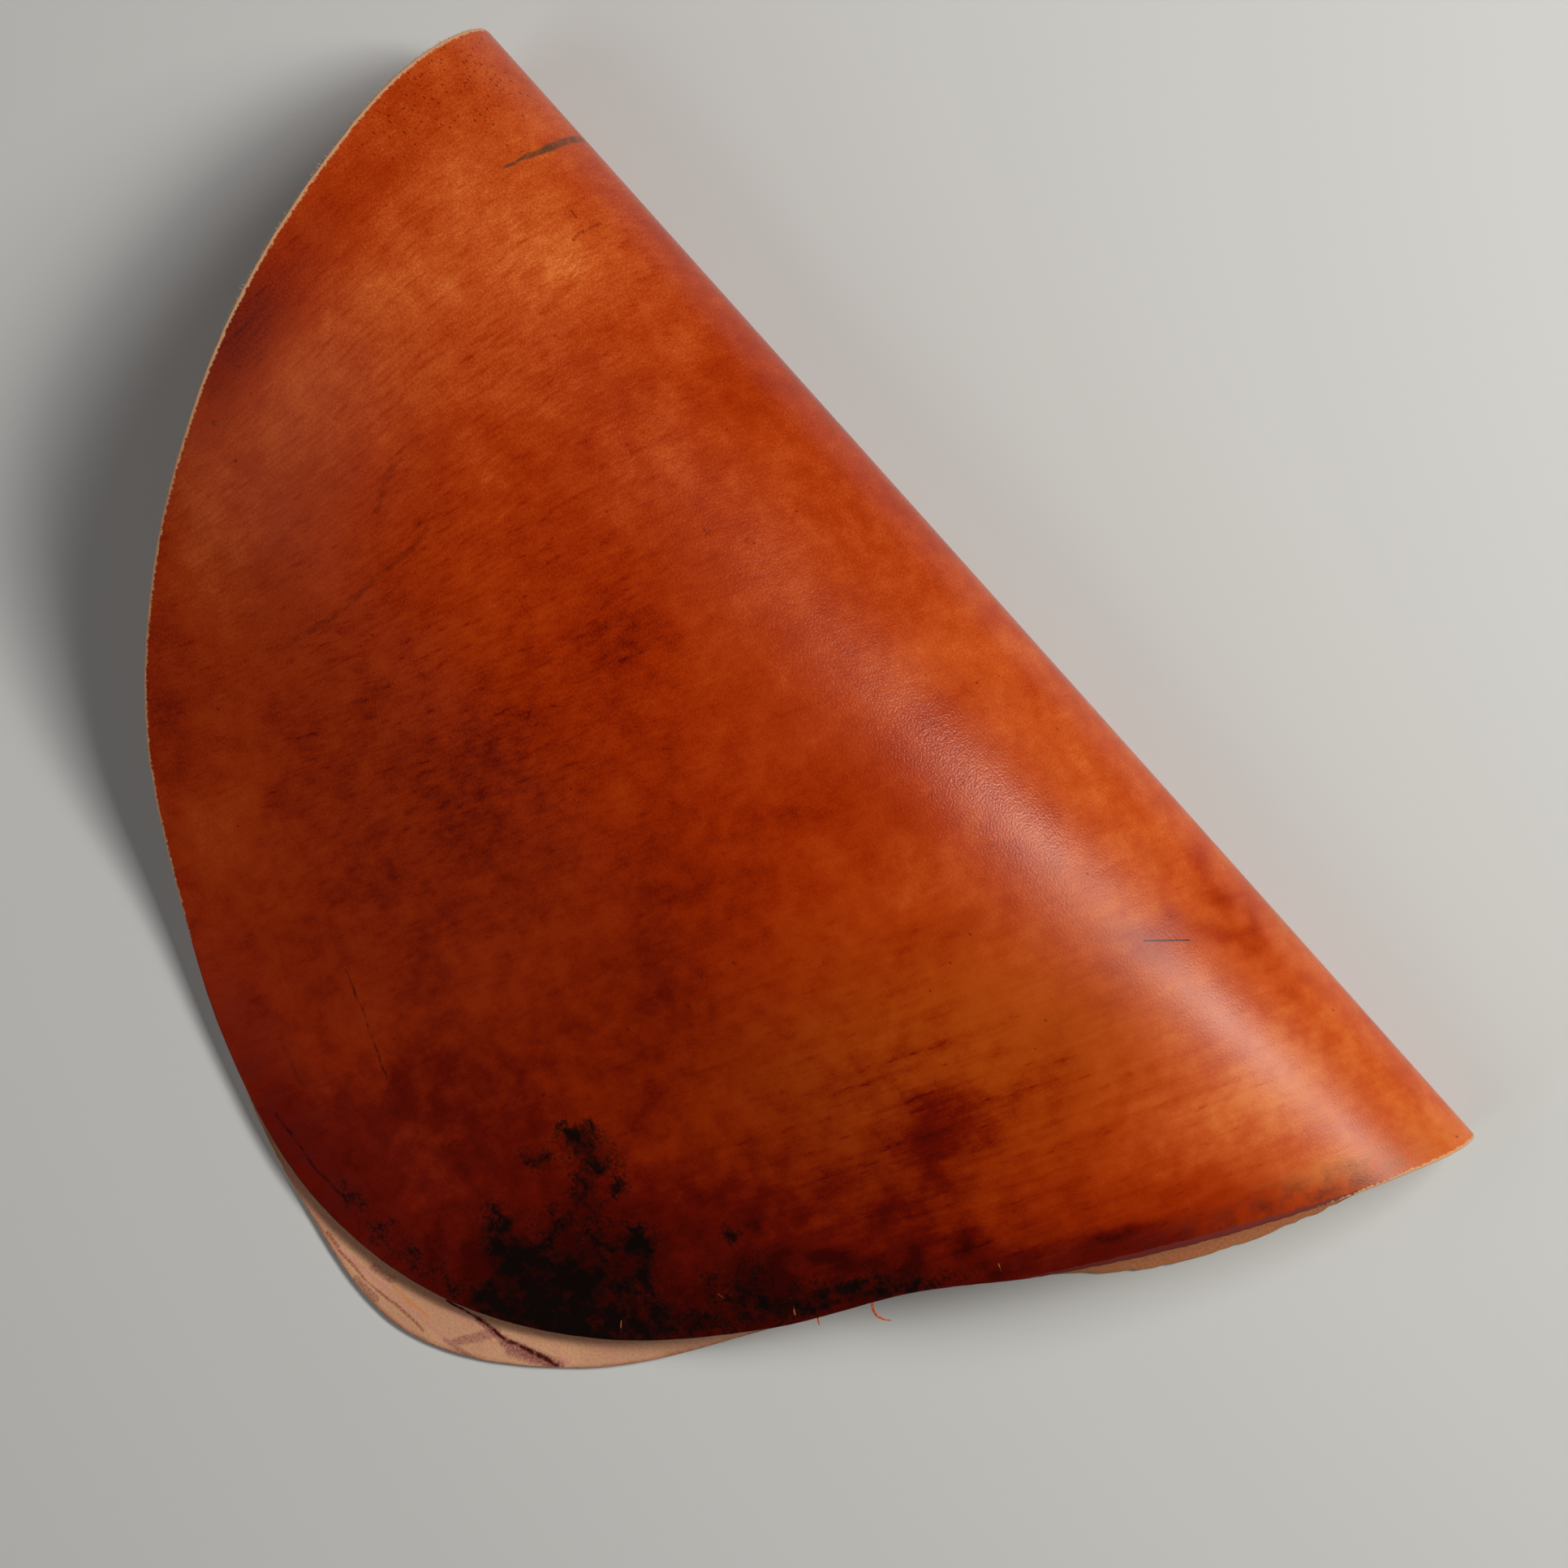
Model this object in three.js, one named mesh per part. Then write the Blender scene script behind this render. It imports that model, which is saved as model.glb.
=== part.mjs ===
import * as THREE from 'three';

// One oval of thick leather, folded over once with its polished side out. Millimetres, +Z up.
// X runs along the fold and +Y out of it. The lower layer lies flat, its underside at z = 0.
// A place on the leather is x along the fold and v across it: 0 at the fold's outermost line,
// negative on the lower layer, positive on the upper.

const THICKNESS = 1.8;
const LANDING_HEIGHT = 5;    // upper layer above the lower where it lands, middle to middle
const FALL_IN = 0.30;        // share of the way down from the crest in which the slope sets in
const FALL_OUT = 0.25;       // share in which the slope eases out at the landing
const LOOP_STEPS = 2900;     // steps along the fold's own section
const COLUMNS = 30;          // mesh cells along the fold
const FLAT_CENTRE = { x: -4, v: 4 };

// Mesh rows across the leather, as shares of the way from the flat centre to the edge.
const BANDS = [
  { from: -1.00, to: -0.22, rows: 9 },     // lower layer
  { from: -0.22, to: 0.22, rows: 26 },     // the fold
  { from: 0.22, to: 1.00, rows: 19 },      // upper layer
];

// How far the leather has turned along the fold's section, in degrees. The section is scaled so that
// its crest stands as high as the station's rise.
const TURN = [
  { run: 0.00, turn: 0 },        // leaves the surface
  { run: 0.35, turn: 9 },
  { run: 0.60, turn: 28 },
  { run: 0.78, turn: 60 },
  { run: 0.95, turn: 95 },       // just past the outermost line
  { run: 1.15, turn: 127 },
  { run: 1.45, turn: 147 },
  { run: 1.85, turn: 160 },
  { run: 2.35, turn: 171 },
  { run: 2.90, turn: 180 },      // crest
];

// Sections along the fold. rise: height of the crest over the lower layer. landing: how far in from the
// fold's outermost line the upper layer comes down on the lower.
const STATIONS = [
  { x: -240, rise: 78, landing: 282 },
  { x: -120, rise: 74, landing: 282 },
  { x: 0, rise: 68, landing: 280 },
  { x: 80, rise: 62, landing: 270 },
  { x: 140, rise: 56, landing: 248 },
  { x: 200, rise: 48, landing: 215 },
  { x: 240, rise: 42, landing: 190 },
];

// The oval's edge laid flat: its reach from the flat centre. Bearing 0 is along the fold toward the low
// end, 90 is toward the upper layer's edge. Equal steps, all round.
const OUTLINE = [
  { bearing: 0, reach: 229 }, { bearing: 10, reach: 220 }, { bearing: 20, reach: 214 },
  { bearing: 30, reach: 213 }, { bearing: 40, reach: 217 }, { bearing: 50, reach: 226 },
  { bearing: 60, reach: 250 }, { bearing: 70, reach: 275 }, { bearing: 80, reach: 292 },
  { bearing: 90, reach: 297 }, { bearing: 100, reach: 291 }, { bearing: 110, reach: 282 },
  { bearing: 120, reach: 275 }, { bearing: 130, reach: 264 }, { bearing: 140, reach: 252 },
  { bearing: 150, reach: 244 }, { bearing: 160, reach: 238 }, { bearing: 170, reach: 235 },
  { bearing: 180, reach: 230 }, { bearing: 190, reach: 225 }, { bearing: 200, reach: 226 },
  { bearing: 210, reach: 232 }, { bearing: 220, reach: 241 }, { bearing: 230, reach: 255 },
  { bearing: 240, reach: 269 }, { bearing: 250, reach: 283 }, { bearing: 260, reach: 292 },
  { bearing: 270, reach: 302 }, { bearing: 280, reach: 309 }, { bearing: 290, reach: 288 },
  { bearing: 300, reach: 255 }, { bearing: 310, reach: 230 }, { bearing: 320, reach: 224 },
  { bearing: 330, reach: 226 }, { bearing: 340, reach: 226 }, { bearing: 350, reach: 227 },
];

// Slow waves of the upper layer. long and wide are wavelengths along and across the fold.
const WAVES = [
  { height: 0.8, long: 310, wide: 420, phase: 0.6 },
  { height: 0.5, long: -190, wide: 260, phase: 2.1 },
];
const WAVE_FROM = 60;        // v at which the waves set in
const WAVE_FULL = 150;       // v from which they are at full height

const clamp = (value, low, high) => Math.min(Math.max(value, low), high);
const ease = (share) => share * share * (3 - 2 * share);
const radians = (degrees) => degrees * Math.PI / 180;

// A smooth curve through one column of a table, against another.
function curve(rows, key, value) {
  const at = rows.map((row) => row[key]);
  const to = rows.map((row) => row[value]);
  const last = rows.length - 1;
  const slope = rows.map((row, i) => {
    const a = Math.max(i - 1, 0);
    const b = Math.min(i + 1, last);
    return (to[b] - to[a]) / (at[b] - at[a]);
  });
  return (place) => {
    const x = clamp(place, at[0], at[last]);
    let i = 0;
    while (i < last - 1 && x >= at[i + 1]) i += 1;
    const step = at[i + 1] - at[i];
    const q = (x - at[i]) / step;
    const q2 = q * q;
    const q3 = q2 * q;
    return (2 * q3 - 3 * q2 + 1) * to[i] + (q3 - 2 * q2 + q) * step * slope[i]
      + (3 * q2 - 2 * q3) * to[i + 1] + (q3 - q2) * step * slope[i + 1];
  };
}

// The outline's reach at any bearing, smooth all round.
function reachAt(bearing) {
  const count = OUTLINE.length;
  const place = (((bearing % 360) + 360) % 360) / (360 / count);
  const i = Math.floor(place);
  const q = place - i;
  const [a, b, c, d] = [-1, 0, 1, 2].map((k) => OUTLINE[(i + k + count) % count].reach);
  return b + 0.5 * q * (c - a + q * (2 * a - 5 * b + 4 * c - d + q * (3 * (b - c) + d - a)));
}

// The fold's section for a rise of 1, as run (v), y from the outermost line, and z.
function foldSection() {
  const turnAt = curve(TURN, 'run', 'turn');
  const step = TURN[TURN.length - 1].run / LOOP_STEPS;
  const points = [{ run: 0, y: 0, z: 0 }];
  for (let i = 1; i <= LOOP_STEPS; i += 1) {
    const before = points[i - 1];
    const turn = radians(turnAt((i - 0.5) * step));
    points.push({
      run: i * step,
      y: before.y + Math.cos(turn) * step,
      z: before.z + Math.sin(turn) * step,
    });
  }
  const outer = points.reduce((best, p) => (p.y > best.y ? p : best));
  const crest = points[LOOP_STEPS].z;
  return points.map((p) => ({
    run: (p.run - outer.run) / crest,
    y: (p.y - outer.y) / crest,
    z: p.z / crest,
  }));
}

const SECTION = foldSection();
const LIFT = SECTION[0];
const CREST = SECTION[LOOP_STEPS];
const riseAt = curve(STATIONS, 'x', 'rise');
const landingAt = curve(STATIONS, 'x', 'landing');

// Share of the drop from crest to landing that is done at a share of the way.
function fallen(share) {
  const x = clamp(share, 0, 1);
  const steepest = 1 / (1 - FALL_IN / 2 - FALL_OUT / 2);
  const down = x < FALL_IN ? x * x / (2 * FALL_IN) : x - FALL_IN / 2;
  const end = Math.max(x - (1 - FALL_OUT), 0);
  return steepest * (down - end * end / (2 * FALL_OUT));
}

function wave(x, v) {
  const share = ease(clamp((v - WAVE_FROM) / (WAVE_FULL - WAVE_FROM), 0, 1));
  return share * WAVES.reduce((sum, w) => (
    sum + w.height * Math.sin(2 * Math.PI * (x / w.long + v / w.wide) + w.phase)), 0);
}

// Middle of the leather's thickness at a place on it.
function middle(x, v) {
  const rise = riseAt(x);
  const run = v / rise;
  let y;
  let z;
  if (run < LIFT.run) {
    y = LIFT.y * rise + v - LIFT.run * rise;
    z = 0;
  } else if (run < CREST.run) {
    const place = (run - LIFT.run) / (CREST.run - LIFT.run) * LOOP_STEPS;
    const i = Math.min(Math.floor(place), LOOP_STEPS - 1);
    const q = place - i;
    y = rise * (SECTION[i].y + (SECTION[i + 1].y - SECTION[i].y) * q);
    z = rise * (SECTION[i].z + (SECTION[i + 1].z - SECTION[i].z) * q);
  } else {
    const past = v - CREST.run * rise;
    y = CREST.y * rise - past;
    z = rise - (rise - LANDING_HEIGHT) * fallen(past / (landingAt(x) + CREST.y * rise));
  }
  return new THREE.Vector3(x, y, z + wave(x, v) + THICKNESS / 2);
}

// Way out of the grain side.
function outward(x, v) {
  const reach = 0.5;
  const along = middle(x + reach, v).sub(middle(x - reach, v));
  const across = middle(x, v + reach).sub(middle(x, v - reach));
  return across.cross(along).normalize();
}

// Square mesh place to the oval laid flat.
function flatPlace(p, q) {
  const a = p * Math.sqrt(1 - q * q / 2);
  const b = q * Math.sqrt(1 - p * p / 2);
  const bearing = Math.atan2(b, a);
  const reach = Math.hypot(a, b) * reachAt(bearing * 180 / Math.PI);
  return [FLAT_CENTRE.x + reach * Math.cos(bearing), FLAT_CENTRE.v + reach * Math.sin(bearing)];
}

function shellGeometry() {
  const across = [BANDS[0].from];
  for (const band of BANDS) {
    for (let i = 1; i <= band.rows; i += 1) {
      across.push(band.from + (band.to - band.from) * i / band.rows);
    }
  }
  const along = Array.from({ length: COLUMNS + 1 }, (_, j) => -1 + 2 * j / COLUMNS);
  const width = along.length;
  const side = across.length * width;

  const positions = new Float32Array(side * 6);
  across.forEach((q, i) => along.forEach((p, j) => {
    const [x, v] = flatPlace(p, q);
    const centre = middle(x, v);
    const half = outward(x, v).multiplyScalar(THICKNESS / 2);
    const at = (i * width + j) * 3;
    centre.clone().add(half).toArray(positions, at);
    centre.clone().sub(half).toArray(positions, at + side * 3);
  }));

  const faces = [];
  for (let i = 0; i + 1 < across.length; i += 1) {
    for (let j = 0; j + 1 < width; j += 1) {
      const a = i * width + j;
      const [b, c, d] = [a + 1, a + width + 1, a + width];
      const toCorner = (across[i] + across[i + 1]) * (along[j] + along[j + 1]) > 0;
      const halves = toCorner ? [[a, b, c], [a, c, d]] : [[a, b, d], [b, c, d]];
      for (const [k, l, m] of halves) faces.push(k, m, l, k + side, l + side, m + side);
    }
  }
  const rim = [];
  for (let j = 0; j < width - 1; j += 1) rim.push(j);
  for (let i = 0; i < across.length - 1; i += 1) rim.push(i * width + width - 1);
  for (let j = width - 1; j > 0; j -= 1) rim.push((across.length - 1) * width + j);
  for (let i = across.length - 1; i > 0; i -= 1) rim.push(i * width);
  rim.forEach((a, k) => {
    const b = rim[(k + 1) % rim.length];
    faces.push(a, b, b + side, a, b + side, a + side);
  });

  const geometry = new THREE.BufferGeometry();
  geometry.setAttribute('position', new THREE.BufferAttribute(positions, 3));
  geometry.setIndex(faces);
  geometry.computeBoundingBox();
  const centre = geometry.boundingBox.getCenter(new THREE.Vector3());
  geometry.translate(-centre.x, -centre.y, -geometry.boundingBox.min.z);
  geometry.computeVertexNormals();
  return geometry;
}

const leather = new THREE.MeshStandardMaterial({ color: 0xa8481c, roughness: 0.35 });
const shell = new THREE.Mesh(shellGeometry(), leather);
shell.name = 'leather_shell';

const part = new THREE.Group();
part.name = 'folded_leather_shell';
part.add(shell);

export default part;
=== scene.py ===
"""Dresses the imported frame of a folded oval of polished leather, and sets a plain stage for it."""
import math

import bmesh
import bpy
import numpy as np
from bpy.props import FloatProperty, FloatVectorProperty, IntProperty, PointerProperty
from mathutils import Matrix, Quaternion, Vector


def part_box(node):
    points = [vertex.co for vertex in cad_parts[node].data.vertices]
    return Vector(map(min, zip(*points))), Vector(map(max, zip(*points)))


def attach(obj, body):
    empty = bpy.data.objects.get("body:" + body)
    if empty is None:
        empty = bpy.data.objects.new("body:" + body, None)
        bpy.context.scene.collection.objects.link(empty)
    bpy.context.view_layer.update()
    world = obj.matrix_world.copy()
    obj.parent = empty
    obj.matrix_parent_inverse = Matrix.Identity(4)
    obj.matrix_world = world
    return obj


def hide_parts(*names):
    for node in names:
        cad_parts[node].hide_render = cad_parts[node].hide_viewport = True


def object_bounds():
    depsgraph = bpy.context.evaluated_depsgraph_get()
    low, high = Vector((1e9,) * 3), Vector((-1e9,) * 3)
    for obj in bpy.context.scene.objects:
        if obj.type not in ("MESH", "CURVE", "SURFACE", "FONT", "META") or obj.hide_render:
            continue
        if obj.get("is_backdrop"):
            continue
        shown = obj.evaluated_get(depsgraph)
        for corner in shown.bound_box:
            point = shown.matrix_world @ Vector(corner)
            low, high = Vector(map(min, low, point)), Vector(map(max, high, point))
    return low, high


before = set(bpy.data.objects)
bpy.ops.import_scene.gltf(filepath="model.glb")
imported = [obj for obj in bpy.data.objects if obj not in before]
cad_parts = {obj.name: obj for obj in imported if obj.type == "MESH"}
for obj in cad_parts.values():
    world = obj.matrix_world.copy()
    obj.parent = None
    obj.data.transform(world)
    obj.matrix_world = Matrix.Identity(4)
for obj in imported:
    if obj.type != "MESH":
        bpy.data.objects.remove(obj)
CAD_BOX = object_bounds()
SHELL_LOW, SHELL_HIGH = (Vector(corner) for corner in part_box("leather_shell"))

bl_info = {
    "name": "Folded Leather Shell",
    "version": (1, 0, 0),
    "blender": (4, 5, 0),
    "location": "View3D > Sidebar > Leather",
    "description": "Builds a folded oval of polished leather over its packed frame",
    "category": "Object",
}

MM = 0.001

# The leather's shape, in mm. A place on it is x along the fold and v across: 0 at the fold's outermost
# line, negative on the lower layer, positive on the upper.
LANDING_HEIGHT = 5.0
FALL_IN = 0.30
FALL_OUT = 0.25
LOOP_STEPS = 2900
FLAT_CENTRE = (-4.0, 4.0)

# Rings of cells along the edge: share of the way out, the first for the edge of the cells inside.
EDGE_RINGS = (0.965, 0.984, 0.995, 1.0)

# Rows of cells across the leather: share of the way to the edge, share of the rows.
BANDS = ((-1.0, 0.0), (-0.22, 0.22), (0.22, 0.56), (1.0, 1.0))

# run along the fold's section, turn in degrees
TURN = (
    (0.00, 0), (0.35, 9), (0.60, 28), (0.78, 60), (0.95, 95),
    (1.15, 127), (1.45, 147), (1.85, 160), (2.35, 171), (2.90, 180),
)

# x, rise of the crest, landing of the upper layer from the fold
STATIONS = (
    (-240, 78, 282), (-120, 74, 282), (0, 68, 280), (80, 62, 270),
    (140, 56, 248), (200, 48, 215), (240, 42, 190),
)

# reach of the flat oval's edge from its centre, every 10 degrees from +x toward the upper edge
OUTLINE = (
    229, 220, 214, 213, 217, 226, 250, 275, 292, 297, 291, 282,
    275, 264, 252, 244, 238, 235, 230, 225, 226, 232, 241, 255,
    269, 283, 292, 302, 309, 288, 255, 230, 224, 226, 226, 227,
)

# height, wavelength along the fold, wavelength across it, phase
WAVES = ((0.8, 310, 420, 0.6), (0.5, -190, 260, 2.1))
WAVE_FROM, WAVE_FULL = 60.0, 150.0

# How far the cut wanders from the outline, in mm: all round, then in stretches, bearings from and to.
RAGGED_REST = 0.025
RAGGED = ((8, 42, 0.07), (318, 352, 0.17))
RAGGED_EASE = 4.0
# Waves of the ragged cut: how many all round, phase
RAGGED_WAVES = ((43, 0.4), (97, 2.2), (173, 4.1), (307, 1.3))

# Pale rim of the grain side along the cut: bearing, width in mm
PALE_RIM = (
    (0, 0.8), (8, 0.8), (14, 0.5), (108, 0.5), (125, 0.8),
    (150, 1.0), (181, 1.0), (196, 0.5), (344, 0.5), (352, 0.8),
)
# Rubbed band of the grain side along the cut: bearing, width in mm
RUBBED_BAND = ((9, 0.0), (14, 1.3), (22, 2.0), (31, 1.9), (38, 1.2), (44, 0.0))
# Stretches of the edge, rubbed dark or with dyed flesh: bearings from and to, ease at both ends
RUBBED_EDGE = (11, 112, 8)
WARM_END = (300, 358, 10)
WARM_REACH, WARM_FADE = 60.0, 40.0

# Tone of the grain side: 1 is the bright orange by the fold, 0 the darkest red brown.
# Distance down the picture from the fold's middle, tone there.
TONE_DOWN = (
    (-260, 0.95), (-115, 0.95), (-59, 0.80), (-4, 0.62), (51, 0.50), (106, 0.46), (134, 0.46),
    (161, 0.36), (189, 0.22), (216, 0.10), (260, 0.05),
)
DOWN_ALONG, DOWN_ACROSS = 0.745, 0.667
# Drawn wrinkles of the grain rise to the right in the picture, more so at its upper left:
# place to the right in the picture, rise there.
WRINKLE_RISE = 0.36
WRINKLE_RISE_LEFT = ((-260, 1.0), (-195, 0.9), (-150, 0.62), (-95, 0.36), (260, 0.36))
WRINKLE_LEFT_TO = (-40.0, 80.0)
# Place along the fold, tone beside it there.
TONE_BY_FOLD = (
    (-235, 0.90), (-170, 0.84), (-109, 0.70), (-59, 0.72),
    (-22, 0.78), (16, 0.88), (54, 0.97), (230, 1.05),
)
FOLD_TONE_FROM, FOLD_TONE_TO = 30.0, 125.0
# Where the polish is dulled: place along the fold, share. Where the grain is pebbled: distance down, share.
DULLED = ((56, 0.0), (94, 1.0), (131, 0.75), (165, 1.0))
PEBBLED = ((-120, 1.0), (60, 0.6), (140, 0.25))

# Patterns of the grain side, in spots per metre: both ways alike, or along and across the drawn wrinkles.
CLOUDS_PER_M, MOTTLES_PER_M, SOOT_PER_M, SPECKLES_PER_M, PEBBLES_PER_M = 24.0, 115.0, 260.0, 950.0, 1350.0
WISPS_PER_M, WRINKLES_PER_M = (30.0, 300.0, 1.0), (165.0, 500.0, 1.0)
# How far each pattern sways the tone, and how high two of them stand in the relief. The wrinkles' sway is
# painted shade, darker in their troughs.
CLOUD_SWAY, MOTTLE_SWAY, WISP_SWAY = 0.44, 0.43, 0.36
THREAD_SWAY, WRINKLE_TROUGH_SHADE, PEBBLE_SWAY = -0.17, -0.34, 0.46
PEBBLE_HEIGHT, WRINKLE_HEIGHT = 1.9, -3.0
# Packed fibres of the cut edge, per metre along x, y and z
EDGE_FIBRES_PER_M = (260.0, 260.0, 1400.0)

# Clouds and stains on the flat leather, with a painted highlight in the first table: x, v, half length, half
# width, turn in degrees, strength.
CLOUDS_AND_TIP_HIGHLIGHT = (
    (107, 136, 15, 10, -68, -0.30), (13, 99, 11, 7, -68, -0.10), (-62, 111, 12, 10, -78, -0.10),
    (-60, 165, 12, 10, -78, -0.08), (66, 96, 11, 5, -68, -0.22), (19, 169, 7, 11, -68, -0.12),
    (-27, 227, 8, 11, -68, -0.12), (114, 22, 6, 10, -88, -0.08), (142, 99, 6, 4, -68, -0.12),
    (118, 99, 4, 6, -68, -0.14), (106, 80, 8, 6, -68, -0.08), (-210, 138, 32, 10, -110, -0.16),
    (-225, 77, 30, 9, -100, -0.10), (-162, 214, 22, 6, -133, -0.10), (-157, 49, 15, 11, -78, 0.12),
    (-185, 95, 19, 15, -78, 0.10), (-186, 122, 15, 15, -78, 0.08), (-176, 157, 14, 18, -78, 0.10),
    (-109, 244, 11, 15, -78, 0.10), (-35, 267, 18, 15, -78, 0.12), (-51, 58, 15, 12, -78, 0.06),
    (14, 30, 28, 4, -68, 0.10), (104, 103, 30, 15, -68, 0.10), (70, 128, 38, 18, -68, 0.08),
    (150, 110, 36, 18, -58, 0.24),
    (112, 160, 24, 14, -58, 0.10), (117, 188, 12, 2, -43, -0.20), (134, 167, 4, 2, -123, -0.20),
    (117, 165, 4, 2, -68, -0.15), (124, 145, 4, 2, -73, -0.15), (139, 151, 5, 2.5, -118, -0.15),
    (155, 144, 6, 2, -68, -0.25), (94, 198, 4, 1.6, -133, -0.15), (112, 207, 4, 4, -48, -0.25),
    (115, 22, 3.2, 2.6, -48, -0.32), (128, 18, 2.2, 4.5, -48, -0.30), (122, 31, 7.5, 2.2, -48, -0.28),
    (132, 27, 4, 3, -48, -0.22), (102, 16, 3, 5, -48, -0.22), (108, 65, 4, 2.4, -48, -0.18),
    (113, 73, 3.5, 1.6, -68, -0.22), (153, 17, 4, 2, -28, -0.18), (151, 25, 6.5, 2, -23, -0.14),
    (-180, 56, 15, 11, -78, 0.22), (-201, 63, 8, 6, -78, 0.10), (-160, 51, 9, 9, -78, 0.12),
    (-120, 40, 12, 8, -78, 0.12), (-103, 66, 11, 8, -78, 0.14), (-81, 30, 8, 6, -78, 0.08),
    (-162, 117, 6, 8, -78, 0.10), (-174, 189, 12, 9, -118, 0.20), (-156, 194, 12, 10, -118, 0.20),
    (-120, 223, 15, 9, -138, 0.15), (-105, 250, 12, 9, -138, 0.18), (-76, 248, 12, 12, -48, 0.10),
    (-35, 94, 15, 11, -68, 0.15), (-36, 57, 9, 9, -68, 0.10), (1, 67, 12, 9, -138, 0.12),
    (5, 34, 12, 4, -68, 0.18), (29, 102, 15, 15, -68, 0.16), (35, 120, 12, 12, -68, 0.12),
    (58, 98, 15, 10, -68, 0.18), (85, 92, 15, 11, -68, 0.12), (32, 138, 10, 8, -68, 0.10),
    (63, 161, 15, 10, -68, 0.18), (63, 198, 12, 10, -68, 0.20), (83, 165, 12, 9, -68, 0.12),
    (27, 209, 10, 10, -68, 0.12), (98, 152, 8, 8, -68, 0.10), (141, 140, 10, 8, -68, 0.10),
    (159, 130, 8, 4, -68, 0.12), (121, 121, 10, 10, -68, 0.08), (168, 105, 8, 5, -68, 0.10),
    # The two rows at x 197, on this line and the next, are a painted highlight along the edge at the fold's
    # low end.
    (197, 56, 9, 4, -68, 0.25), (141, 107, 15, 8, -68, 0.15), (137, 81, 15, 10, -68, 0.10),
    (164, 72, 15, 10, -68, 0.16), (197, 52, 9, 4, -63, 0.20), (166, 20, 10, 5, 2, 0.12),
    (164, 51, 10, 10, -68, 0.12),
    (-209, 101, 22, 10, -106, -0.25), (-207, 124, 15, 9, -106, -0.20), (-203, 141, 12, 6, -110, -0.15),
    (-107, 108, 15, 15, -68, -0.08), (-46, 150, 15, 15, -68, -0.05),
    (-61, 215, 10, 10, -68, -0.08), (-8, 266, 12, 8, -68, -0.14), (14, 240, 10, 10, -68, -0.12),
    (28, 235, 10, 5, -68, -0.08), (-48, 282, 12, 9, 17, -0.12),
    (63, 66, 12, 6, -3, -0.10), (84, 134, 15, 3, -68, -0.08), (168, 117, 9, 2.5, -60, -0.30),
)
# Where the colour is drawn out in wisps and threads, and where the grain stands up in wrinkles.
DRAWN_PATCHES = (
    (100, 112, 62, 34, -68, 0.85), (130, 150, 40, 20, -58, 0.6), (150, 90, 40, 30, -60, 0.7),
    (-150, 90, 60, 60, 0, 0.25),
)
DRAWN_REST = 0.16
WRINKLED_PATCHES = ((-140, 130, 70, 70, 0, 1.0), (-85, 175, 45, 45, 0, 0.7), (-168, 62, 38, 38, 0, 0.8))
WRINKLED_REST = 0.15
# Painted sheen: patches at the upper left where a broad soft reflection is painted into the colour, paler
# and greyer.
PAINTED_SHEEN_PATCHES = ((-180, 138, 22, 26, -48, 0.9), (-165, 160, 16, 20, -48, 0.4))
AMBER_CLOUDS = ((82, 128, 34, 20, -68, 0.7), (108, 103, 34, 20, -68, 0.7))
BLACK_STAINS = (
    (38, 223, 4.5, 3.5, -48, 0.9), (36, 237, 3.2, 2.4, -48, 0.9), (32, 240, 2.4, 2, -48, 0.35),
    (47, 222, 5, 4, -48, 0.75), (50, 230, 3.5, 6, -48, 0.65), (58, 224, 2.2, 2.2, -48, 0.85),
    (36, 259, 1.6, 1.4, -48, 0.6), (56, 235, 5, 3.5, -48, 0.65), (56, 245, 5, 5, -48, 0.55),
    (46, 263, 5, 5.5, -48, 0.95), (54, 265, 5, 5, -48, 0.85), (68, 238, 5, 5, -48, 0.5),
    (77, 231, 4.2, 5, -48, 0.85), (73, 252, 7, 5, -48, 0.75), (68, 262, 9, 6, -48, 0.85),
    (61, 269, 7, 6, -48, 0.7), (62, 279, 7, 3.5, -28, 0.9), (75, 269, 12, 5, -38, 0.95),
    (85, 257, 12, 6, -48, 0.95), (96, 246, 7, 6, -48, 0.8), (88, 264, 11, 2.6, -46, 1.0),
    (102, 222, 3.6, 3.6, -48, 0.6), (105, 212, 2.4, 5, -48, 0.6), (92, 207, 2.4, 2.4, -48, 0.45),
    (107, 234, 9, 3.6, -52, 0.8), (118, 212, 9, 4.5, -54, 0.7), (110, 204, 3.5, 7, -48, 0.3),
    (85, 236, 3, 3.6, -48, 0.6), (16, 256, 5, 2, -48, 0.25), (130, 186, 12, 4, -58, 0.5),
    (139, 174, 15, 3, -53, 0.45),
    (39, 288, 15, 3, -10, 0.45), (19, 291, 15, 3, -3, 0.35), (108, 215, 6, 2, -133, 0.75),
    (126, 199, 8, 2.8, -60, 0.85), (136, 182, 4, 1.4, -63, 0.8), (142, 171, 1, 1, -48, 0.6),
    (138, 173, 3, 2.4, -48, 0.45), (92, 207, 3.5, 2, -128, 0.35), (60, 250, 9, 6, -48, 0.15),
    (70, 244, 8, 7, -48, 0.25), (63, 263, 9, 7, -48, 0.45), (76, 255, 14, 7, -48, 0.6),
)
PURPLE_RIMS = (
    (-52, 286, 28, 10, 14, 0.6), (-15, 295, 28, 10, 4, 0.8), (26, 294, 28, 10, -8, 0.7),
    (176, 114, 28, 4, -58, 0.7), (186, 91, 28, 4, -64, 0.8), (202, 56, 22, 5, -68, 0.9),
    (128, 6, 8, 10, -88, 0.3), (-204, 143, 25, 8, -110, 0.8),
)
MAUVE_SMEARS = ((107, 49, 10, 2.4, -48, 0.9), (111, 53, 6, 3.2, -48, 0.9), (108, 40, 2.4, 2.4, -48, 0.9))
PORE_PATCHES = (
    (-227, 45, 12, 8, -93, 0.9), (-223, 24, 11, 8, -48, 0.9), (-223, 63, 10, 5, -98, 0.7),
    (-212, 31, 14, 9, -68, 0.5),
)
PORE_TURN, PORE_CELL = 13, (0.0024, 0.0015)

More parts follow.
